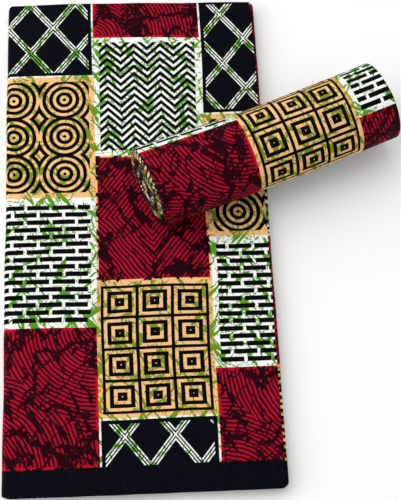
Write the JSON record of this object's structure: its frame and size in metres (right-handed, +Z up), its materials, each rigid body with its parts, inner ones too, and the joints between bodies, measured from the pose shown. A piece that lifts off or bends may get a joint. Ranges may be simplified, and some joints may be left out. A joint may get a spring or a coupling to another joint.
{
  "type": "folded and rolled ankara fabric",
  "caption": "Flat folded length of ankara wax-print cotton with a rolled length of the same cloth lying across its right edge.",
  "frame": {"origin": "on the surface that the heap lies on, under the middle of the whole heap's box", "axes": "+Z up; +Y along the folded length's long side, towards its far end; +X across it, from its spine towards the side that the roll overhangs"},
  "size_m": [0.4372, 0.576, 0.0875],
  "materials": {
    "printed_cotton_folded": "crisp plain-weave cotton, wax-printed in red, black, orange, white and green, low sheen",
    "cotton_fold_edges": "fold edges of the same printed cotton, matt",
    "printed_cotton_rolled": "crisp plain-weave cotton, wax-printed in red, black, orange, white and green, low sheen",
    "cotton_roll_ends": "fold edges of the rolled printed cotton, matt"
  },
  "bodies": {
    "root": {"folded_outer_leaf": "printed_cotton_folded", "folded_inner_layers": "cotton_fold_edges", "rolled_outer_turn": "printed_cotton_rolled", "rolled_inner_turns": "cotton_roll_ends"}
  },
  "joints": []
}
